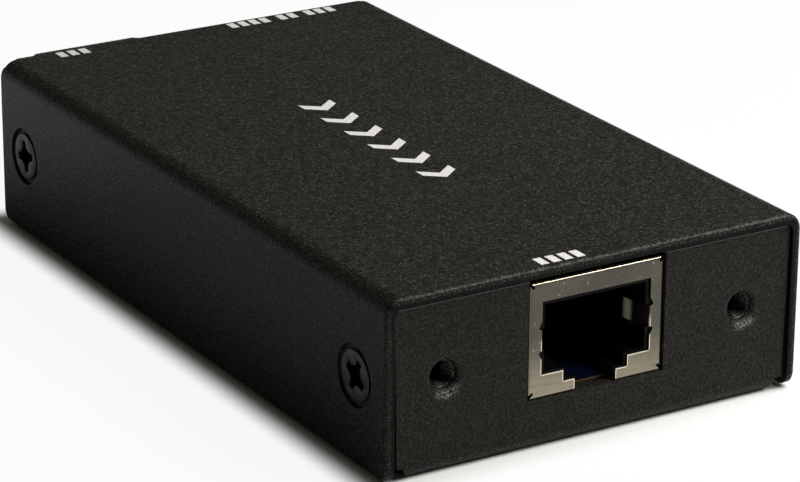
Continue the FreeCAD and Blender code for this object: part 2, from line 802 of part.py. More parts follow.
def make_processor():
    """Ball grid package: laminate base with a smaller moulded cap."""
    width, length, height = processor_size
    base = block((-width / 2, width / 2), (-length / 2, length / 2), (0, height / 2))
    cap = chip_body((width - 2 * processor_cap_inset, length - 2 * processor_cap_inset, height), 0)
    return fused([base, cap])


def board_parts():
    """Name, shape and centre of every part on the board, each placed from its neighbours."""
    column = jack_rear + transformer_gap + transformer_size[1] / 2
    yield "line_transformer", leaded_chip(transformer_size, 8, 1.27, 0.5, (1, 3)), 0, column
    for side, shape in ((-1, chip_body(equaliser_size, 0)), (1, make_regulator())):
        yield ("line_equaliser", "voltage_regulator")[side > 0], shape, side * side_column, column + column_gap
    middle = (jack_rear + data_back + column_gap) / 2
    yield "main_processor", make_processor(), 0, middle
    yield "crystal_can", make_crystal(), -side_column, middle
    yield "memory_chip", leaded_chip(memory_size, 4, 1.27, 0.42, (0, 2)), side_column, middle
    row = data_back - inductor_gap - inductor_size[1] / 2
    yield "power_inductor", make_inductor(), -inductor_shift, row
    row = video_back - receiver_gap - receiver_size[1] / 2
    yield "video_receiver", chip_body(receiver_size, 0), video_centre - video_taper, row
    row = jack_rear + capacitor_gap + capacitor_base / 2 - column_gap
    yield "input_capacitor", make_capacitor(), -capacitor_column, row
    yield "output_capacitor", make_capacitor(), capacitor_column, row


def make_crystal():
    """Round-ended can on its square-cornered base."""
    width, length, height = crystal_size
    base = block((-width / 2, width / 2), (-length / 2, length / 2), (0, chip_chamfer))
    radius, straight = width / 2 - chip_chamfer, (length - width) / 2
    can = block((-radius, radius), (-straight, straight), (chip_chamfer, height))
    ends = [rod(Vector(0, end, chip_chamfer), UP, 2 * radius, height - chip_chamfer)
            for end in (-straight, straight)]
    return fused([base, can] + ends)


def make_inductor():
    """Square ferrite body with cropped corners and a round core on top."""
    width, length, height = inductor_size
    neck = height - 2 * chip_chamfer
    body = block((-width / 2, width / 2), (-length / 2, length / 2), (0, neck))
    body = body.makeChamfer(width / 5, [edge for edge in body.Edges if same(edge.BoundBox.ZLength, neck)])
    core = rod(Vector(0, 0, neck), UP, 0.8 * min(width, length), height - neck)
    return fused([body, core])


def make_regulator():
    """Three-lead regulator with its wide heat tab opposite the leads."""
    width, length, height = regulator_size
    body = chip_body((width, length, height), chip_seat)
    leads = gull_leads((width, length, height), 3, length / 3, 3 * lead_thickness, [0])
    tab = gull_leads((width, length, height), 1, 0, length / 2, [2])
    return fused([body] + leads + tab)


def make_capacitor():
    """Aluminium can on a square base with two cut corners."""
    half, low = capacitor_base / 2, capacitor_base_height
    base = block((-half, half), (-half, half), (0, low))
    cut = [edge for edge in base.Edges if same(edge.BoundBox.ZLength, low) and edge.CenterOfMass.y > 0]
    base = base.makeChamfer(half / 3, cut)
    return fused([base, rod(Vector(0, 0, low), UP, capacitor_diameter, capacitor_height - low)])


def all_nodes():
    """Every separate piece by its node name."""
    yield "top_cover", make_top_cover()
    yield "base_tray", make_base_tray()
    for index, (mouth, inward) in enumerate(screw_axes(), 1):
        yield f"cover_screw_{index}", make_cover_screw(mouth, inward)
    for index, (x, y) in enumerate(fixing_points(), 1):
        yield f"standoff_{index}", make_standoff(x, y)
        yield f"board_screw_{index}", make_board_screw(x, y)
    yield "circuit_board", make_circuit_board()
    yield "network_jack_shield", make_jack_shield()
    yield "network_jack_housing", make_jack_housing()
    yield "network_jack_contacts", make_jack_contacts()
    yield "data_socket_shell", make_data_shell()
    yield "data_socket_insert", make_data_insert()
    yield "data_socket_contacts", make_data_contacts()
    yield "video_socket_shell", make_video_shell()
    yield "video_socket_insert", make_video_insert()
    yield "video_socket_contacts", make_video_contacts()
    for name, shape, x, y in board_parts():
        yield name, moved(shape, x, y, board_top)


os.makedirs("parts", exist_ok=True)
for name, shape in all_nodes():
    shape.exportStep(f"parts/{name}.step")
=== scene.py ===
import json
import math
import bpy
import numpy as np
from mathutils import Matrix, Vector


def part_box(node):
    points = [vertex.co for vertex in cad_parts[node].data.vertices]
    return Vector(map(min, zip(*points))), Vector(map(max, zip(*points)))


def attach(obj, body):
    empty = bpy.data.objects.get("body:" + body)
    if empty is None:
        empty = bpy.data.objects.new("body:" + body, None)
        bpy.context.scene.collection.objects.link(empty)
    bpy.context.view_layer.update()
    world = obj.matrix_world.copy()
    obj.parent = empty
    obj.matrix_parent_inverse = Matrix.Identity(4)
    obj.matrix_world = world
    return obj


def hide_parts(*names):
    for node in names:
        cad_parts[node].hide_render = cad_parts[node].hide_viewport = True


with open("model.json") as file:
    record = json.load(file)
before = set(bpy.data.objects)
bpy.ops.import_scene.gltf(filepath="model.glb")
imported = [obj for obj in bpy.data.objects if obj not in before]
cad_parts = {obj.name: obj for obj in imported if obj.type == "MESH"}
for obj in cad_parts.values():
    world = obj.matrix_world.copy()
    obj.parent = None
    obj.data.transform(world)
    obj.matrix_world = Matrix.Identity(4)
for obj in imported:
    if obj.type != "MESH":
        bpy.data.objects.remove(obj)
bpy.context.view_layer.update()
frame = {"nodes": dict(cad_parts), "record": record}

# ---------------------------------------------------------------- folded cover
# One inverted U of 1 mm steel: blanked, folded on two long bends, deburred and coated in black
# textured powder, then screened in white ink. Four countersunk screws hold it to the tray.

MM = 0.001
COVER_LOW, COVER_HIGH = (np.array(corner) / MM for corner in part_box("top_cover"))
COVER_EDGE = 0.08 * MM
HOOD_PROUD = 0.55
COVER_FRONT, COVER_REAR, COVER_TOP = COVER_LOW[1], COVER_HIGH[1] - HOOD_PROUD, COVER_HIGH[2]
PRINT_LEVEL = COVER_TOP - 0.1
INK = (0.78, 0.775, 0.755, 1)
# The coat's black, and a pale painted highlight for its grain crests.
COAT_DARK, COAT_LIT_CREST = (0.0068, 0.0065, 0.0055, 1), (0.0220, 0.0214, 0.0184, 1)
# Colours of the painted glints and of painted shade.
COAT_GLINT, COAT_SHADE = (0.094, 0.092, 0.083, 1), (0.0025, 0.0024, 0.0022, 1)
# Pale colour of rubbed coat, also used for painted highlights along rims and edges.
COAT_WORN_AND_LIT = (0.165, 0.161, 0.150, 1)
# Grain sizes and painted glint sizes on upright walls and on top, and the height of the grains.
GRAIN_SIZES, GLINT_SIZES, GRAIN_HEIGHT = (0.27, 0.42), (0.24, 0.33), 0.10
CORNER_ANGLE, FLAT_ANGLE = math.radians(50), math.radians(0.4)


class Socket:
    """A shader socket that takes part in arithmetic: each operation adds its Math node."""

    def __init__(self, tree, socket):
        self.tree, self.socket = tree, socket

    def node(self, kind, settings=None, output=0, **inputs):
        """Adds a node of a kind, sets it up and fills its sockets, named or by number as _0, _1."""
        made = self.tree.nodes.new(kind)
        for name, value in (settings or {}).items():
            setattr(made, name, value)
        for name, value in inputs.items():
            key = int(name[1:]) if name[1:].isdigit() else name.replace("_", " ")
            target = made.inputs[key]
            if isinstance(value, Socket):
                self.tree.links.new(value.socket, target)
            else:
                target.default_value = value
        return Socket(self.tree, made.outputs[output])

    def math(self, operation, *values):
        return self.node("ShaderNodeMath", {"operation": operation},
                         **{f"_{index}": value for index, value in enumerate(values)})

    def __add__(self, other): return self.math("ADD", self, other)
    def __radd__(self, other): return self.math("ADD", other, self)
    def __sub__(self, other): return self.math("SUBTRACT", self, other)
    def __rsub__(self, other): return self.math("SUBTRACT", other, self)
    def __mul__(self, other): return self.math("MULTIPLY", self, other)
    def __rmul__(self, other): return self.math("MULTIPLY", other, self)
    def __truediv__(self, other): return self.math("DIVIDE", self, other)
    def __mod__(self, other): return self.math("FLOORED_MODULO", self, other)
    def __pow__(self, other): return self.math("POWER", self, other)
    def __abs__(self): return self.math("ABSOLUTE", self)

    def larger(self, other):
        return self.math("MAXIMUM", self, other)

    def ramp(self, low, high):
        """Rises smoothly from 0 to 1 as this value goes from low to high."""
        return self.node("ShaderNodeMapRange", {"interpolation_type": "SMOOTHSTEP"},
                         _0=self, _1=low, _2=high)

    def within(self, low, high, soft):
        """1 between two levels, falling to 0 over a soft edge."""
        return self.ramp(low - soft, low + soft) * (1 - self.ramp(high - soft, high + soft))

    def blend(self, first, second):
        """Value between two values, with this one as the share of the second."""
        return first + (second - first) * self

    def mix(self, first, second):
        """Colour between two colours, with this value as the share of the second."""
        return self.node("ShaderNodeMix", {"data_type": "RGBA"}, output=2, _0=self, _6=first, _7=second)


class Finish:
    """A material with one Principled surface, whose varying sockets are driven by expressions."""

    def __init__(self, name, **constants):
        self.material = bpy.data.materials.new(name)
        self.material.use_nodes = True
        self.tree = self.material.node_tree
        self.surface = self.tree.nodes["Principled BSDF"]
        self.start = Socket(self.tree, None)
        for socket, value in constants.items():
            self.surface.inputs[socket.replace("_", " ")].default_value = value
        self.place = self.start.node("ShaderNodeTexCoord", output=3)

    def axes(self):
        """Object X, Y and Z in millimetres."""
        return [self.start.node("ShaderNodeSeparateXYZ", output=axis, _0=self.place) / MM
                for axis in range(3)]

    def noise(self, size, detail=2.0, roughness=0.5, stretch=None):
        """Noise whose features are about one size in millimetres, drawn out along an axis by a stretch."""
        place = self.place
        if stretch:
            place = self.start.node("ShaderNodeVectorMath", {"operation": "MULTIPLY"},
                                    _0=place, _1=stretch)
        return self.start.node("ShaderNodeTexNoise", Vector=place, Scale=1 / (size * MM), Detail=detail,
                               Roughness=roughness)

    def cells(self, size, feature="F1", output=0):
        """Scattered cells of one size in millimetres: output 0 is the distance, 1 a shade for each cell."""
        return self.start.node("ShaderNodeTexVoronoi", {"feature": feature}, output, Vector=self.place,
                               Scale=1 / (size * MM))

    def colour(self, value):
        self.drive("Base Color", value)

    def drive(self, socket, value):
        self.tree.links.new(value.socket, self.surface.inputs[socket])

    def bump(self, height, reach):
        """Relief from a height between 0 and 1, reach millimetres deep."""
        self.drive("Normal", self.start.node("ShaderNodeBump", Height=height, Distance=reach * MM,
                                             Strength=1.0))


def powder_coat(name, marks=None, highlight_and_wear=None, shade=None):
    """Black coat of fine rounded grains, a little larger where the powder settled on top, with a painted
    highlight on the grains' crests and painted glints over them. Masks say where it is printed, worn pale
    or given a painted highlight, and where painted shade darkens it."""
    coat = Finish(name, Specular_IOR_Level=0.08)
    settled = coat.axes()[2].ramp(PRINT_LEVEL - 0.3, PRINT_LEVEL)
    grain = settled.blend(coat.noise(GRAIN_SIZES[0], detail=2, roughness=0.6),
                          coat.noise(GRAIN_SIZES[1], detail=2, roughness=0.7))
    coarse = coat.noise(0.9, detail=2)
    cloud = coat.noise(13, detail=3)
    # Painted highlight: the grains' crests, which stand highest in the bump, are paler as if lit.
    lit_crest = (grain * 0.9 + coarse * 0.1).ramp(0.38, 0.64)
    # Painted glints: bright specks, one to a cell, standing in for light caught by the grains.
    painted_glint = settled.blend(*((1 - coat.cells(size).ramp(0.10, 0.48))
                            * coat.cells(size, output=1).ramp(0.36, 0.86) for size in GLINT_SIZES))
    base = painted_glint.mix(lit_crest.mix(COAT_DARK, COAT_LIT_CREST), COAT_GLINT)
    # Painted shade mixed in where the shade mask says.
    if shade:
        base = shade(coat).mix(base, COAT_SHADE)
    rough = 0.34 + 0.10 * coarse + 0.08 * (cloud - 0.5)
    height = grain + coarse * 0.1
    # Mixed toward pale: rubbed coat in part, and painted highlights.
    if highlight_and_wear:
        base = highlight_and_wear(coat).mix(base, COAT_WORN_AND_LIT)
    if marks:
        ink = marks(coat) * grain.ramp(0.08, 0.26)
        base, rough, height = ink.mix(base, INK), rough + ink * 0.1, height + ink * 0.1
    coat.colour(base)
    coat.drive("Roughness", rough)
    coat.bump(height, GRAIN_HEIGHT)
    return coat.material


def cover_print(coat):
    """White ink on the top: six chevrons toward the jack, and a row of bars by each socket."""
    x, y, z = coat.axes()
    edge = 0.05
    middle, half, pitch, stroke, slope = -1.1, 2.0, 4.98, 1.15, 0.8
    first, count = -16.2, 6
    point = abs(x - middle) * slope
    along = (y - first - point) % pitch
    chevron = along.within(0, stroke * math.hypot(1, slope), edge)
    chevron = chevron * abs(x - middle).within(-1, half, edge)
    ink = chevron * (y - point).within(first, first + count * pitch - edge * 4, edge)
    bar, bar_pitch, bar_length, trim = 0.95, 1.42, 1.8, 0.2
    by_jack, by_rear = COVER_FRONT + 0.8, COVER_REAR - 2.45
    rows = ((-6.5, 4, by_jack), (-18.0, 3, by_rear), (4.3, 4, by_rear), (10.9, 2, by_rear),
            (14.6, 3, by_rear))
    for left, bars, foot in rows:
        span = (x - left).within(0, bars * bar_pitch - trim, edge)
        span = span * y.within(foot, foot + bar_length, edge)
        ink = ink.larger(span * ((x - left) % bar_pitch).within(0, bar, edge))
    return ink * z.ramp(PRINT_LEVEL - edge, PRINT_LEVEL)


def painted_rim_glints(coat):
    """Painted highlight: grains that shine along the broken top edge at both ends."""
    _, y, z = coat.axes()
    at_front, at_rear = 1 - (y - COVER_FRONT).ramp(0.15, 0.45), (y - COVER_REAR).ramp(-0.45, -0.15)
    rims = at_front.larger(at_rear) * (z - COVER_TOP).ramp(-0.36, -0.22)
    shine = 0.42
    return rims * coat.noise(0.25, detail=1).ramp(0.40, 0.64) * shine


def inner_edge_shade(coat):
    """Painted shade: the inner half of the two end faces, round the gap to the tray, is darkened to black.
    """
    x, y, z = coat.axes()
    inset = (COVER_HIGH[0] - abs(x)).ramp(0.5, 0.8) * (COVER_TOP - z).ramp(0.5, 0.8)
    at_front, at_rear = 1 - (y - COVER_FRONT).ramp(0.3, 0.6), (y - COVER_REAR).ramp(-0.6, -0.3)
    return inset * at_front.larger(at_rear)


def soft_edged(name, source, width, material):
    """Merged copy of a CAD solid that stands for it. Edges past the corner angle get a round break, as
    wide as asked or as their shortest neighbour allows, and the chamfers below it shade as rounded."""
    mesh = bpy.data.meshes.new(name)
    piece = bpy.data.objects.new(name, mesh)
    bpy.context.scene.collection.objects.link(piece)
    data = frame["nodes"][source].data
    points = np.empty(len(data.vertices) * 3, np.float32)
    data.vertices.foreach_get("co", points)
    loops = np.empty(len(data.loops), np.int32)
    data.loops.foreach_get("vertex_index", loops)
    merged, index = np.unique(np.round(points.reshape(-1, 3), 8), axis=0, return_inverse=True)
    faces = index.reshape(-1)[loops.reshape(-1, 3)]
    whole = (faces[:, 0] != faces[:, 1]) & (faces[:, 1] != faces[:, 2]) & (faces[:, 2] != faces[:, 0])
    mesh.from_pydata(merged.tolist(), [], faces[whole].tolist())
    mesh.validate()
    mesh.shade_smooth()
    mesh.set_sharp_from_angle(angle=CORNER_ANGLE)
    mesh.materials.append(material)
    flatten = piece.modifiers.new("flat faces", "DECIMATE")
    flatten.decimate_type, flatten.angle_limit = "DISSOLVE", FLAT_ANGLE
    rounding = piece.modifiers.new("edge break", "BEVEL")
    rounding.width, rounding.segments = width, 2
    rounding.limit_method, rounding.angle_limit = "ANGLE", CORNER_ANGLE
    piece.modifiers.new("face normals", "WEIGHTED_NORMAL").keep_sharp = True
    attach(piece, "root")
    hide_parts(source)


soft_edged("folded_cover", "top_cover", COVER_EDGE,
           powder_coat("cover_powder_coat", cover_print, painted_rim_glints, inner_edge_shade))

# ---------------------------------------------------------------- folded tray
# Floor and end walls in one sheet, nested in the cover, with the same coat. Its two jackscrew
# holes are drawn inward; the pale crescent along the lower part of each rolled rim is partly
# rubbed coat and partly a painted highlight.

TRAY_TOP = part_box("base_tray")[1][2] / MM
JACKSCREWS = [mount for mount in frame["record"]["mounts"] if mount["kind"] == "threaded_hole"]
RUB_INNER, RUB_OUTER, RUB_SOFT = 1.75, 2.40, 0.35


def rim_highlight_and_wear(coat):
    """Painted highlight along the top edge of the end walls, and a speckled pale crescent under each
    jackscrew hole, from four to seven o'clock, partly rubbed coat and partly painted highlight."""
    x, y, z = coat.axes()
    crescents = None
    for mount in JACKSCREWS:
        across, _, up = (value / MM for value in mount["pos_m"])
        dx, dz = x - across, z - up
        reach = (dx * dx + dz * dz) ** 0.5
        downward = (dx * 0.17 - dz * 0.985) / reach
        crescent = reach.within(RUB_INNER, RUB_OUTER, RUB_SOFT) * downward.ramp(0.64, 0.98)
        crescents = crescents.larger(crescent) if crescents else crescent
    # Painted highlight along the top edge of the end walls.
    edge = (z - TRAY_TOP).ramp(-0.20, -0.08) * 0.4
    return (crescents * coat.noise(0.24, detail=1).ramp(0.40, 0.62)).larger(edge)


soft_edged("folded_tray", "base_tray", COVER_EDGE, powder_coat("tray_powder_coat", highlight_and_wear=rim_highlight_and_wear))

# ---------------------------------------------------------------- jackscrew threads
# Metric M3 threads cut in the two drawn collars after coating, so the bare turns show a little
# bright steel. Each is a thin liner that fills the last of the bore between its turns.

THREAD_PITCH, THREAD_DEPTH, LINER_WALL = 0.5, 0.27, 0.02
THREAD_SIDES, THREAD_STEPS = 40, 8


def mesh_piece(name, points, faces, material, slot, *replaced):
    """New smooth piece from an array of points in millimetres and a list of faces."""
    mesh = bpy.data.meshes.new(name)
    mesh.from_pydata((points * MM).tolist(), [], faces)
    mesh.validate()
    mesh.shade_smooth()
    mesh.materials.append(material)
    piece = bpy.data.objects.new(name, mesh)
    bpy.context.scene.collection.objects.link(piece)
    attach(piece, "root")
    if replaced:
        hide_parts(*replaced)
    return piece


def grid_faces(rows, columns, close_rows):
    """Quads of a grid whose columns wrap round, and whose rows do where asked."""
    row, column = np.meshgrid(np.arange(rows if close_rows else rows - 1), np.arange(columns),
                              indexing="ij")
    above, beside = (row + 1) % rows, (column + 1) % columns
    corners = [row * columns + column, row * columns + beside, above * columns + beside,
               above * columns + column]
    return np.stack(corners, axis=-1).reshape(-1, 4).tolist()


def worn_steel():
    """Cut steel with leftover coat in its grooves."""
    steel = Finish("cut_thread_steel", Metallic=0.85)
    grain = steel.noise(0.22, detail=2)
    steel.colour(grain.ramp(0.42, 0.66).mix((0.006, 0.0056, 0.005, 1), (0.060, 0.058, 0.052, 1)))
    steel.drive("Roughness", 0.34 + 0.2 * grain)
    steel.bump(grain, 0.01)
    return steel.material


def thread_liner(name, mount, material):
    """Closed tube: its inner radius falls from the bore's by the thread's depth times a triangle wave
    of (distance along the axis / pitch - turn), and its outer radius stays just inside the bore."""
    radius, length = mount["dims"]["r_mm"], mount["dims"]["length_mm"]
    angle = np.linspace(0, 2 * np.pi, THREAD_SIDES, endpoint=False)
    along = np.linspace(0, length, int(length / THREAD_PITCH * THREAD_STEPS) + 1)
    phase = (along[:, None] / THREAD_PITCH - angle[None, :] / (2 * np.pi)) % 1
    ridge = np.clip(1.5 - np.abs(phase - 0.5) * 4, 0, 1)
    fade = np.clip(np.minimum(along, length - along) / THREAD_PITCH * 2, 0, 1)[:, None]
    inner = radius - LINER_WALL - THREAD_DEPTH * ridge * fade
    outer = np.full((2, THREAD_SIDES), radius - LINER_WALL / 2)
    radii = np.concatenate([inner, outer])
    depth = np.concatenate([along, (length, 0)])[:, None] + 0 * radii
    centre = np.array(mount["pos_m"]) / MM
    points = np.stack([centre[0] + radii * np.cos(angle), centre[1] - length / 2 + depth,
                       centre[2] + radii * np.sin(angle)], axis=-1).reshape(-1, 3)
    mesh_piece(name, points, grid_faces(len(radii), THREAD_SIDES, True), material, "tray_coat")


thread_steel = worn_steel()
for side, mount in zip(("left", "right"), JACKSCREWS):
    thread_liner(f"jackscrew_thread_{side}", mount, thread_steel)

# ---------------------------------------------------------------- cover screws
# Four M3 countersunk steel screws with a cross recess, cold headed, blackened in oxide and driven
# flush through the cover into the tray's ears.

SCREW_TURNS = (-28, 11, 38, -14)
RECESS_SPAN, ARM_ROOT, ARM_TIP, RECESS_WEB = 3.6, 0.50, 0.40, 1.02
RECESS_DEPTH, RECESS_FLOOR, RIM, TIP_CHAMFER, CORE = 1.2, 0.45, 0.12, 0.3, 0.02
SCREW_EDGE = 0.05 * MM


def black_oxide():
    """Oxide black steel, oiled, worn a little grey on its high parts, with painted shade, black, down in
    the recess.
    """
    oxide = Finish("black_oxide_steel")
    x, _, _ = oxide.axes()
    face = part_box("cover_screw_3")[1][0] / MM
    # Painted shade: the cross recess is darkened to black.
    recess_shade = (face - abs(x)).ramp(0.02, 0.16)
    smear = oxide.noise(0.9, detail=3)
    speck = oxide.noise(0.2, detail=1)
    worn = (smear * 0.7 + speck * 0.3).ramp(0.38, 0.66)
    steel = worn.mix((0.012, 0.0108, 0.009, 1), (0.034, 0.032, 0.027, 1))
    oxide.colour(recess_shade.mix(steel, (0.001, 0.001, 0.001, 1)))
    oxide.drive("Metallic", 0.6 + 0.4 * recess_shade)
    oxide.drive("Roughness", 0.36 + 0.16 * smear + 0.25 * recess_shade)
    oxide.bump(speck, 0.008)
    return oxide.material


def cross_outline(per_side):
    """Closed outline of a cross recess: tapered arms, and webs cut straight across the inner corners."""
    half = RECESS_SPAN / 2
    quarter = np.array([(half, -ARM_TIP), (half, ARM_TIP), (RECESS_WEB, ARM_ROOT), (ARM_ROOT, RECESS_WEB)])
    turned = [quarter @ np.array([(c, s), (-s, c)]) for c, s in ((1, 0), (0, 1), (-1, 0), (0, -1))]
    corners = np.concatenate(turned)
    ahead = np.roll(corners, -1, axis=0)
    share = np.arange(per_side)[None, :, None] / per_side
    return (corners[:, None] * (1 - share) + ahead[:, None] * share).reshape(-1, 2)


def cross_screw(name, turn, material):
    """Surface over (place round the recess outline, station): the stations run from the recess floor up
    its walls, over the head's flat and rim, down the cone and along the shank."""
    low, high = (np.array(corner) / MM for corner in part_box(name))
    middle, side = (low + high) / 2, np.sign(low[0] + high[0])
    head, length = (high[2] - low[2]) / 2, high[0] - low[0]
    cross = cross_outline(4)
    heading = np.arctan2(cross[:, 1], cross[:, 0])
    circle = np.stack([np.cos(heading), np.sin(heading)], axis=-1)
    shank = JACKSCREWS[0]["dims"]["r_mm"]
    recess = [(circle * CORE, RECESS_DEPTH + 0.1), (cross * RECESS_FLOOR, RECESS_DEPTH),
              (cross * 0.96, 0.10), (cross * 1.02, 0.02), (cross * 1.06, 0)]
    outside = [(circle * (head - RIM), 0), (circle * (head - RIM / 3), RIM / 3), (circle * head, RIM),
               (circle * shank, head + RIM - shank), (circle * shank, length - TIP_CHAMFER),
               (circle * (shank - TIP_CHAMFER), length), (circle * CORE, length)]
    rows = np.stack([across for across, _ in recess + outside])
    depth = np.array([level for _, level in recess + outside])[:, None] + 0 * heading
    spin = math.radians(turn)
    u = rows[..., 0] * math.cos(spin) - rows[..., 1] * math.sin(spin)
    v = rows[..., 0] * math.sin(spin) + rows[..., 1] * math.cos(spin)
    face = high[0] if side > 0 else low[0]
    points = np.stack([face - side * depth, middle[1] + side * u, middle[2] + v], axis=-1)
    ends = points[[0, -1]].mean(axis=1)
    count, stations = len(heading), len(rows)
    ring = np.arange(count)
    after, last, hub = (ring + 1) % count, (stations - 1) * count, stations * count
    floor_fan = np.stack([ring, np.full(count, hub), after], axis=-1)
    tip_fan = np.stack([last + after, np.full(count, hub + 1), last + ring], axis=-1)
    faces = grid_faces(stations, count, False) + floor_fan.tolist() + tip_fan.tolist()
    piece = mesh_piece(name + "_cross", np.concatenate([points.reshape(-1, 3), ends]), faces, material,
                       "black_screw", name)
    rounding = piece.modifiers.new("edge break", "BEVEL")
    rounding.width, rounding.segments = SCREW_EDGE, 2
    rounding.limit_method, rounding.angle_limit = "ANGLE", math.radians(40)
    piece.modifiers.new("face normals", "WEIGHTED_NORMAL")


oxide_steel = black_oxide()
for number, turn in enumerate(SCREW_TURNS, 1):
    cross_screw(f"cover_screw_{number}", turn, oxide_steel)

# ---------------------------------------------------------------- plated shells
# The network jack's shield and the shells of the two rear sockets: thin spring sheet, stamped,
# folded and nickel plated dull. They are soldered to the board by their legs.

SHELL_EDGE = 0.045 * MM
# Half widths of the plug opening, and the levels above the board where it steps out.
LEVER_HALF, LATCH_HALF, PLUG_HALF = 2.47, 3.86, 6.48
LATCH_LEVEL, SHOULDER_LEVEL, FINGER_LEVEL = 1.1, 2.3, 5.96
BOARD_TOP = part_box("circuit_board")[1][2] / MM
# Depths behind the jack's face: the springs' crests, and the back of the cavity.
CREST_DEPTHS, CAVITY_BACK = (2.3, 3.4), (16, 18)
# Shaded and lit nickel for the painted fall of light, then dust, painted highlights and painted shade.
NICKEL_DARK, NICKEL_LIGHT = (0.082, 0.077, 0.066, 1), (0.33, 0.297, 0.225, 1)
NICKEL_DUST, NICKEL_EDGE_HIGHLIGHT = (0.45, 0.44, 0.40, 1), (0.92, 0.84, 0.64, 1)
NICKEL_CAVITY_SHADE, NICKEL_CREST_HIGHLIGHT = (0.014, 0.013, 0.011, 1), (0.70, 0.67, 0.56, 1)


def nickel_plate():
    """Dull warm nickel: fine stamping grain, faint clouds and specks of dust, with painted shade toward the
    top and a little toward the right, painted highlights along the top bend and the opening's edges,
    painted shade inside the jack and a painted highlight on the springs' crests."""
    plate = Finish("dull_nickel_plate", Metallic=1.0)
    grain = plate.noise(0.16, detail=2)
    brushed = plate.noise(0.30, detail=3, stretch=(0.12, 1, 1))
    cloud = plate.noise(3.0, detail=3)
    dust = plate.noise(0.30, detail=0).ramp(0.80, 0.84)
    x, y, z = plate.axes()
    low, high = (np.array(corner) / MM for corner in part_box("network_jack_shield"))
    # Painted shade: darker toward the top and a little toward the right, as light falls on the shield; the
    # tone adds some random cloud to it.
    shade_fall = (high[2] - z) / (high[2] - BOARD_TOP) - (x - low[0]) * (0.12 / (high[0] - low[0]))
    tone = 0.85 * shade_fall.ramp(0.42, 1.04) + 0.15 * (0.5 * grain + 0.5 * cloud).ramp(0.35, 0.65)
    tone = tone * (0.7 + 0.6 * brushed)
    depth = y - low[1]
    front = 1 - depth.ramp(0.3, 0.5)
    # Painted shade inside the jack's cavity.
    inside = depth.ramp(0.06, 0.16) * (1 - depth.ramp(*CAVITY_BACK)) * (high[2] - z).ramp(0.35, 0.45)
    # Painted highlight on the springs' crests, a band rougher than the face.
    lit_crest = inside * depth.within(*CREST_DEPTHS, 0.35)
    across, up = abs(x - (low[0] + high[0]) / 2), z - BOARD_TOP

    def opening(level):
        """Half width of the stepped opening at a level."""
        latch = LEVER_HALF + (level - LATCH_LEVEL).ramp(-0.02, 0.02) * (LATCH_HALF - LEVER_HALF)
        return latch + (level - SHOULDER_LEVEL).ramp(-0.02, 0.02) * (PLUG_HALF - LATCH_HALF)

    # Painted highlights along the opening's risers and ledges and along the top bend.
    riser = 1 - (across - opening(up)).ramp(0.05, 0.13)
    ledge = 1 - (across - opening(up + 0.11)).ramp(-0.03, 0.03)
    lower = 1 - (up - FINGER_LEVEL).ramp(-0.5, 0.5)
    bend = (z - high[2]).ramp(-0.22, -0.10).larger(1 - (x - low[0]).ramp(0.06, 0.16))
    edge_highlight = bend.larger(riser.larger(ledge) * lower * 0.8) * front
    face = (dust * 0.4).mix(tone.mix(NICKEL_DARK, NICKEL_LIGHT), NICKEL_DUST)
    face = inside.mix(edge_highlight.mix(face, NICKEL_EDGE_HIGHLIGHT), NICKEL_CAVITY_SHADE)
    plate.colour(lit_crest.mix(face, NICKEL_CREST_HIGHLIGHT))
    rough = 0.30 + 0.14 * cloud + 0.08 * grain + 0.2 * inside + 0.15 * lit_crest - 0.16 * edge_highlight
    plate.drive("Roughness", rough)
    plate.bump(grain * 0.5 + brushed * 0.5, 0.003)
    return plate.material


nickel = nickel_plate()
for shell, source in (("jack_shield", "network_jack_shield"), ("data_shell", "data_socket_shell"),
                      ("video_shell", "video_socket_shell")):
    soft_edged(shell, source, SHELL_EDGE, nickel)

# ---------------------------------------------------------------- socket mouldings
# Insulators of the three sockets, injection moulded: black glass-filled nylon in the network and
# video sockets, natural nylon in the data socket. They are pressed into the shells.

MOULDED_EDGE, TONGUE_EDGE = 0.05 * MM, 0.04 * MM


def moulding(name, low, high, rough, gloss):
    """Moulded nylon: slow flow marks, and a fine grain from the mould."""
    nylon = Finish(name, Specular_IOR_Level=gloss)
    flow = nylon.noise(2.2, detail=3, stretch=(1, 0.4, 1))
    grain = nylon.noise(0.12, detail=1)
    nylon.colour((0.8 * flow + 0.2 * grain).ramp(0.35, 0.65).mix(low, high))
    nylon.drive("Roughness", rough + 0.12 * flow)
    nylon.bump(grain, 0.004)
    return nylon.material


black_nylon = moulding("black_moulding", (0.0018, 0.0018, 0.002, 1), (0.004, 0.004, 0.0045, 1),
                       rough=0.24, gloss=0.06)
natural_nylon = moulding("natural_moulding", (0.60, 0.585, 0.52, 1), (0.68, 0.665, 0.60, 1),
                         rough=0.38, gloss=0.4)
soft_edged("jack_moulding", "network_jack_housing", MOULDED_EDGE, black_nylon)
soft_edged("data_moulding", "data_socket_insert", MOULDED_EDGE, natural_nylon)
soft_edged("video_moulding", "video_socket_insert", TONGUE_EDGE, black_nylon)

# ---------------------------------------------------------------- contacts
# Spring wires of the jack and blades of the two rear sockets, stamped or drawn in phosphor bronze
# with a gold flash, and held in the mouldings.


def dress(material, *names):
    """Puts a finish on CAD solids that show as they are."""
    for name in names:
        slots = frame["nodes"][name].data.materials
        slots.clear()
        slots.append(material)


def gold_flash():
    """Thin gold over nickel, wiped bright in streaks along the wire."""
    gold = Finish("gold_flash", Metallic=1.0)
    wiped = gold.noise(0.5, detail=3, stretch=(1, 0.2, 1))
    gold.colour(wiped.ramp(0.35, 0.65).mix((0.62, 0.42, 0.15, 1), (0.82, 0.62, 0.28, 1)))
    gold.drive("Roughness", 0.18 + 0.2 * wiped)
    gold.bump(wiped, 0.004)
    return gold.material


dress(gold_flash(), "network_jack_contacts", "data_socket_contacts", "video_socket_contacts")

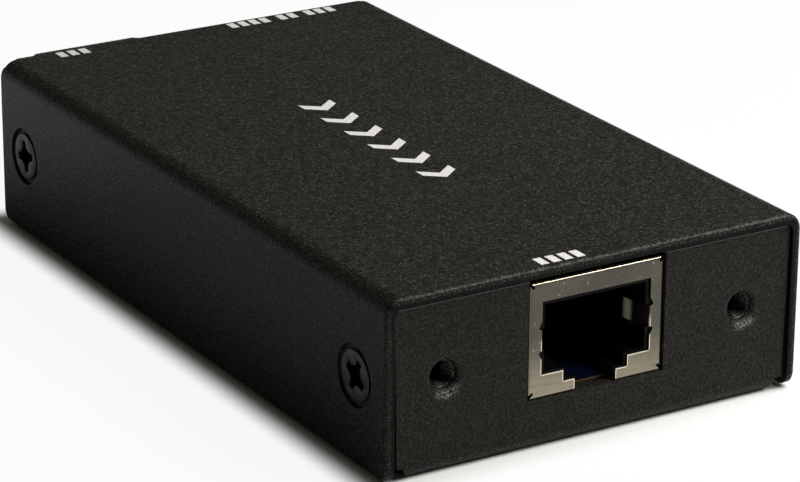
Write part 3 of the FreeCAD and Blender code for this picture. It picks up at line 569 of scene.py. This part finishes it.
# ---------------------------------------------------------------- circuit board and its fixings
# Glass epoxy board under a navy solder mask, routed to outline so that its edges are bare and
# tan, on four hexagonal zinc plated posts with a cheese head screw in each.

BOARD_LOW, BOARD_HIGH = (corner[2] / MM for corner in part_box("circuit_board"))
MASK_SKIN = 0.04


def masked_board():
    """Navy mask on the two broad faces, with tracks under it, and bare weave on the edges, with
    painted shade darkening them below their upper rim."""
    board = Finish("masked_board", Specular_IOR_Level=0.5)
    _, _, z = board.axes()
    middle, half = (BOARD_LOW + BOARD_HIGH) / 2, (BOARD_HIGH - BOARD_LOW) / 2
    faces = abs(z - middle).ramp(half - 2 * MASK_SKIN, half - MASK_SKIN)
    tracks = board.cells(2.6, "DISTANCE_TO_EDGE").ramp(0.10, 0.14)
    mask = tracks.mix((0.0018, 0.006, 0.022, 1), (0.0010, 0.0035, 0.013, 1))
    weave = board.noise(0.25, detail=2, stretch=(1, 1, 4))
    bare = weave.ramp(0.35, 0.65).mix((0.08, 0.047, 0.020, 1), (0.17, 0.11, 0.053, 1))
    # Painted shade on the bare edge below its upper rim.
    bare = (BOARD_HIGH - z).ramp(0.10, 0.35).mix(bare, (0.022, 0.014, 0.007, 1))
    board.colour(faces.mix(bare, mask))
    board.drive("Roughness", 0.62 - 0.36 * faces)
    board.bump(weave * 0.5 + tracks * 0.5, 0.012)
    return board.material


def zinc_plate():
    """Bright zinc with a faint blue bloom and fine turning marks."""
    zinc = Finish("zinc_plate", Metallic=1.0)
    bloom = zinc.noise(1.4, detail=3)
    marks = zinc.noise(0.2, detail=1, stretch=(1, 1, 5))
    zinc.colour(bloom.ramp(0.35, 0.65).mix((0.44, 0.46, 0.50, 1), (0.62, 0.62, 0.60, 1)))
    zinc.drive("Roughness", 0.26 + 0.2 * marks)
    zinc.bump(marks, 0.006)
    return zinc.material


dress(masked_board(), "circuit_board")
dress(zinc_plate(), *(f"{part}_{number}" for part in ("standoff", "board_screw") for number in range(1, 5)))

# ---------------------------------------------------------------- parts on the board
# Chips and the line transformer in moulded epoxy, a drawn steel crystal can, a ferrite inductor
# and two aluminium capacitors, all reflow soldered.


def epoxy_package():
    """Moulded epoxy: charcoal with pale filler specks and a fine spark-eroded texture."""
    epoxy = Finish("epoxy_package", Specular_IOR_Level=0.4)
    texture = epoxy.noise(0.14, detail=2)
    filler = epoxy.cells(0.3).ramp(0.10, 0.04)
    charcoal = texture.mix((0.012, 0.012, 0.013, 1), (0.022, 0.022, 0.023, 1))
    epoxy.colour((filler * 0.5).mix(charcoal, (0.10, 0.10, 0.10, 1)))
    epoxy.drive("Roughness", 0.5 + 0.2 * texture)
    epoxy.bump(texture, 0.02)
    return epoxy.material


def drawn_metal(name, low, high):
    """Drawn or pressed metal: streaks along its height and slow clouds."""
    metal = Finish(name, Metallic=1.0)
    streak = metal.noise(0.3, detail=3, stretch=(1, 1, 0.15))
    cloud = metal.noise(2.0, detail=2)
    metal.colour((0.5 * streak + 0.5 * cloud).ramp(0.35, 0.65).mix(low, high))
    metal.drive("Roughness", 0.3 + 0.2 * streak)
    metal.bump(streak, 0.006)
    return metal.material


def ferrite_core():
    """Sintered ferrite: dark grey, dry and finely pitted."""
    core = Finish("sintered_ferrite", Specular_IOR_Level=0.3)
    pits = core.cells(0.35).ramp(0.05, 0.3)
    cloud = core.noise(1.5, detail=3)
    core.colour(cloud.ramp(0.35, 0.65).mix((0.030, 0.030, 0.032, 1), (0.058, 0.057, 0.056, 1)))
    core.drive("Roughness", 0.7 + 0.15 * cloud)
    core.bump(pits, 0.03)
    return core.material


dress(epoxy_package(), "line_transformer", "main_processor", "video_receiver", "line_equaliser",
      "memory_chip", "voltage_regulator")
dress(drawn_metal("crystal_can_steel", (0.42, 0.42, 0.43, 1), (0.58, 0.58, 0.58, 1)), "crystal_can")
dress(ferrite_core(), "power_inductor")
dress(drawn_metal("capacitor_aluminium", (0.60, 0.60, 0.61, 1), (0.78, 0.78, 0.79, 1)), "input_capacitor",
      "output_capacitor")

# ---------------------------------------------------------------- studio
# A plain white floor under two soft boxes, one at the right and one at the front right, in a dim
# room whose walls are pale only along the horizon. The camera looks down on the jack's corner.

FLOOR_REACH, FLOOR_GLOW, CONTACT_REACH, SHADOW_REACH = 6.0, 0.92, 4.0, 70.0
LAMP_COLOUR, HORIZON = (1, 0.985, 0.95), (0.6, 0.6, 0.58, 1)
WALL_DARK, WALL_LIGHT = (0.052, 0.05, 0.042, 1), (0.14, 0.136, 0.12, 1)
CAMERA_AIM, CAMERA_DISTANCE = Vector((-2.126, -8.5, 10.0)), 387.34
CAMERA_AZIMUTH, CAMERA_ELEVATION, CAMERA_ROLL = -31.28, 20.83, 0.407
CAMERA_LENS, CAMERA_SENSOR = 163.2, 36.0


def white_floor():
    """Paper white that eyes and mirrors see partly lit by itself, so the backdrop stays white. It is
    plain lit paper close to the object, and farther out in mirrors, so it keeps the shadow."""
    paper = Finish("white_paper", Roughness=0.9, Specular_IOR_Level=0.0)
    fibre = paper.noise(0.6, detail=2)
    paper.colour(fibre.mix((0.94, 0.94, 0.94, 1), (0.96, 0.96, 0.96, 1)))
    seen = [paper.start.node("ShaderNodeLightPath", output=f"Is {ray} Ray") for ray in
            ("Camera", "Glossy", "Transmission")]
    glow = paper.start.node("ShaderNodeEmission", Color=(1, 1, 1, 1), Strength=1.0)
    lit = Socket(paper.tree, paper.surface.outputs[0])
    x, y, _ = paper.axes()
    beyond_x, beyond_y = (abs(axis) - half for axis, half in ((x, COVER_HIGH[0]), (y, COVER_HIGH[1])))
    away, outside = (beyond_x.larger(beyond_y).ramp(0, reach) for reach in (CONTACT_REACH, SHADOW_REACH))
    share = (seen[0] * away).larger(seen[1].larger(seen[2]) * outside) * FLOOR_GLOW
    mixed = paper.start.node("ShaderNodeMixShader", _0=share, _1=lit, _2=glow)
    paper.tree.links.new(mixed.socket, paper.tree.nodes["Material Output"].inputs["Surface"])
    return paper.material


def softbox(name, place, size, power):
    """Square area lamp that faces the object from a place in metres."""
    lamp = bpy.data.lights.new(name, "AREA")
    lamp.shape, lamp.size, lamp.energy, lamp.color = "SQUARE", size, power, LAMP_COLOUR
    holder = bpy.data.objects.new(name, lamp)
    holder.location = place
    holder.rotation_euler = (-Vector(place)).to_track_quat("-Z", "Y").to_euler()
    bpy.context.scene.collection.objects.link(holder)


def dim_room():
    """World light: dim, with a paler wall behind to the right and a pale band along the horizon."""
    world = bpy.data.worlds.new("dim_room")
    world.use_nodes = True
    background = world.node_tree.nodes["Background"]
    start = Socket(world.node_tree, None)
    ahead = start.node("ShaderNodeTexCoord", output=0)
    x, y, height = (start.node("ShaderNodeSeparateXYZ", output=axis, _0=ahead) for axis in range(3))
    wall = (0.52 * x + 0.85 * y).ramp(0.1, 0.9).mix(WALL_DARK, WALL_LIGHT)
    tone = height.ramp(0.02, 0.08).mix(HORIZON, wall)
    world.node_tree.links.new(tone.socket, background.inputs["Color"])
    bpy.context.scene.world = world


floor_mesh = bpy.data.meshes.new("studio_floor")
corners = [(x * FLOOR_REACH, y * FLOOR_REACH, 0) for x, y in ((-1, -1), (1, -1), (1, 1), (-1, 1))]
floor_mesh.from_pydata(corners, [], [(0, 1, 2, 3)])
floor_mesh.materials.append(white_floor())
floor = bpy.data.objects.new("studio_floor", floor_mesh)
bpy.context.scene.collection.objects.link(floor)
softbox("right_box", (0.15, -0.085, 0.22), 0.20, 0.67)
softbox("front_right_box", (0.105, -0.135, 0.17), 0.13, 0.25)
dim_room()
bpy.context.scene.view_settings.view_transform = "Standard"

camera = bpy.data.cameras.new("camera")
camera.sensor_width, camera.lens = CAMERA_SENSOR, CAMERA_LENS
camera.clip_start, camera.clip_end = 0.01, 20
eye = bpy.data.objects.new("camera", camera)
bpy.context.scene.collection.objects.link(eye)
bpy.context.scene.camera = eye
turn = (Matrix.Rotation(math.radians(CAMERA_AZIMUTH), 4, "Z")
        @ Matrix.Rotation(math.radians(90 - CAMERA_ELEVATION), 4, "X")
        @ Matrix.Rotation(math.radians(CAMERA_ROLL), 4, "Z"))
ahead = turn.to_3x3() @ Vector((0, 0, -1))
eye.matrix_world = Matrix.Translation((CAMERA_AIM - ahead * CAMERA_DISTANCE) * MM) @ turn
